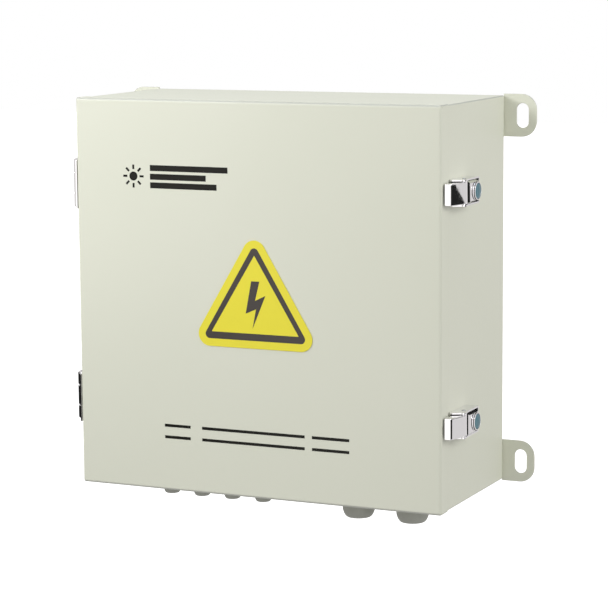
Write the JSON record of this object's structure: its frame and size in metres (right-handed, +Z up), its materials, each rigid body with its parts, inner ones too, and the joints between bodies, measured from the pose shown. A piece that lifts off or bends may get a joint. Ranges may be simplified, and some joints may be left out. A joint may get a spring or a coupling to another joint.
{
  "type": "dc combiner box",
  "caption": "Wall-hung steel enclosure with hinged pan door, claw latches, slotted ears and cable glands, holding fuse holders, surge protector and breaker on rails.",
  "frame": {"origin": "centre of the wall plane, which the back faces of the four ears lie in, at mid width and mid height of the door", "axes": "+Z up, -Y out of the wall towards the person at the door, +X to the latch side"},
  "size_m": [0.467, 0.1806, 0.434],
  "materials": {
    "body_paint": "light grey-beige powder coat, fine orange peel",
    "label_vinyl": "satin yellow vinyl, printed",
    "chrome": "bright chrome plate",
    "zinc": "dull zinc plate",
    "steel": "bright zinc-plated steel",
    "gland_nylon": "grey moulded nylon",
    "rubber": "black foamed seal",
    "device_grey": "light grey moulded plastic",
    "device_dark": "black moulded plastic",
    "module_red": "red moulded plastic",
    "copper": "tinned-edge copper bar",
    "brass": "machined brass",
    "wire_red": "red cable insulation",
    "wire_black": "black cable insulation",
    "wire_earth": "green and yellow cable insulation"
  },
  "bodies": {
    "root": {"breaker_body": "device_grey", "busbar_negative": "copper", "busbar_positive": "copper", "din_rail_lower": "steel", "din_rail_upper": "steel", "door_frame": "body_paint", "earth_bar": "brass", "enclosure_shell": "body_paint", "fuse_base_1": "device_grey", "fuse_base_2": "device_grey", "gland_body_large_1": "gland_nylon", "gland_body_large_2": "gland_nylon", "gland_body_small_1": "gland_nylon", "gland_body_small_2": "gland_nylon", "gland_body_small_3": "gland_nylon", "gland_body_small_4": "gland_nylon", "gland_cap_large_1": "gland_nylon", "gland_cap_large_2": "gland_nylon", "gland_cap_small_1": "gland_nylon", "gland_cap_small_2": "gland_nylon", "gland_cap_small_3": "gland_nylon", "gland_cap_small_4": "gland_nylon", "hinge_body_leaf_lower": "chrome", "hinge_body_leaf_upper": "chrome", "hinge_pin_lower": "steel", "hinge_pin_upper": "steel", "latch_base_lower": "chrome", "latch_base_upper": "chrome", "latch_pin_lower": "steel", "latch_pin_upper": "steel", "mounting_ear_bottom_left": "body_paint", "mounting_ear_bottom_right": "body_paint", "mounting_ear_top_left": "body_paint", "mounting_ear_top_right": "body_paint", "mounting_plate": "zinc", "surge_protector_base": "device_grey", "wire_earth": "wire_earth", "wire_negative_feed": "wire_black", "wire_positive_feed": "wire_red", "wire_surge_negative": "wire_black", "wire_surge_positive": "wire_red"},
    "door": {"door_panel": "body_paint", "door_gasket": "rubber", "hazard_label": "label_vinyl", "hinge_door_leaf_upper": "chrome", "hinge_door_leaf_lower": "chrome", "latch_strike_upper": "zinc", "latch_strike_lower": "zinc"},
    "latch_handle_upper": {"latch_handle_upper": "chrome"},
    "latch_claw_upper": {"latch_claw_upper": "chrome"},
    "latch_barrel_upper": {"latch_barrel_upper": "zinc"},
    "latch_handle_lower": {"latch_handle_lower": "chrome"},
    "latch_claw_lower": {"latch_claw_lower": "chrome"},
    "latch_barrel_lower": {"latch_barrel_lower": "zinc"},
    "fuse_carrier_1": {"fuse_carrier_1": "device_dark"},
    "fuse_carrier_2": {"fuse_carrier_2": "device_dark"},
    "surge_module_1": {"surge_module_1": "module_red"},
    "surge_module_2": {"surge_module_2": "module_red"},
    "surge_module_3": {"surge_module_3": "module_red"},
    "breaker_toggle": {"breaker_toggle": "device_dark"}
  },
  "joints": [
    {"name": "door_hinge", "type": "hinge", "parent": "root", "child": "door", "pos_m": [-0.207, -0.161, 0], "axis": [0, 0, -1], "range_deg": [0, 120]},
    {"name": "latch_upper_lever", "type": "hinge", "parent": "root", "child": "latch_handle_upper", "pos_m": [0.2088, -0.142, 0.114], "axis": [0, 0, -1], "range_deg": [0, 90]},
    {"name": "latch_upper_hook", "type": "hinge", "parent": "root", "child": "latch_claw_upper", "pos_m": [0.2124, -0.152, 0.114], "axis": [0, 0, 1], "range_deg": [0, 35]},
    {"name": "latch_upper_key", "type": "hinge", "parent": "latch_handle_upper", "child": "latch_barrel_upper", "pos_m": [0.216, -0.1267, 0.114], "axis": [1, 0, 0], "range_deg": [0, 90]},
    {"name": "latch_lower_lever", "type": "hinge", "parent": "root", "child": "latch_handle_lower", "pos_m": [0.2088, -0.142, -0.114], "axis": [0, 0, -1], "range_deg": [0, 90]},
    {"name": "latch_lower_hook", "type": "hinge", "parent": "root", "child": "latch_claw_lower", "pos_m": [0.2124, -0.152, -0.114], "axis": [0, 0, 1], "range_deg": [0, 35]},
    {"name": "latch_lower_key", "type": "hinge", "parent": "latch_handle_lower", "child": "latch_barrel_lower", "pos_m": [0.216, -0.1267, -0.114], "axis": [1, 0, 0], "range_deg": [0, 90]},
    {"name": "fuse_carrier_1_swing", "type": "hinge", "parent": "root", "child": "fuse_carrier_1", "pos_m": [-0.111, -0.0798, -0.075], "axis": [1, 0, 0], "range_deg": [0, 90]},
    {"name": "fuse_carrier_2_swing", "type": "hinge", "parent": "root", "child": "fuse_carrier_2", "pos_m": [-0.075, -0.0798, -0.075], "axis": [1, 0, 0], "range_deg": [0, 90]},
    {"name": "surge_module_1_pull", "type": "slide", "parent": "root", "child": "surge_module_1", "axis": [0, -1, 0], "range_m": [0, 0.045]},
    {"name": "surge_module_2_pull", "type": "slide", "parent": "root", "child": "surge_module_2", "axis": [0, -1, 0], "range_m": [0, 0.045]},
    {"name": "surge_module_3_pull", "type": "slide", "parent": "root", "child": "surge_module_3", "axis": [0, -1, 0], "range_m": [0, 0.045]},
    {"name": "breaker_switch", "type": "hinge", "parent": "root", "child": "breaker_toggle", "pos_m": [0.1, -0.0848, -0.058], "axis": [1, 0, 0], "range_deg": [0, 80]}
  ],
  "couplings": [
    {"joint": "latch_upper_hook", "follows": "latch_upper_lever", "ratio": 0.35},
    {"joint": "latch_lower_hook", "follows": "latch_lower_lever", "ratio": 0.35}
  ]
}
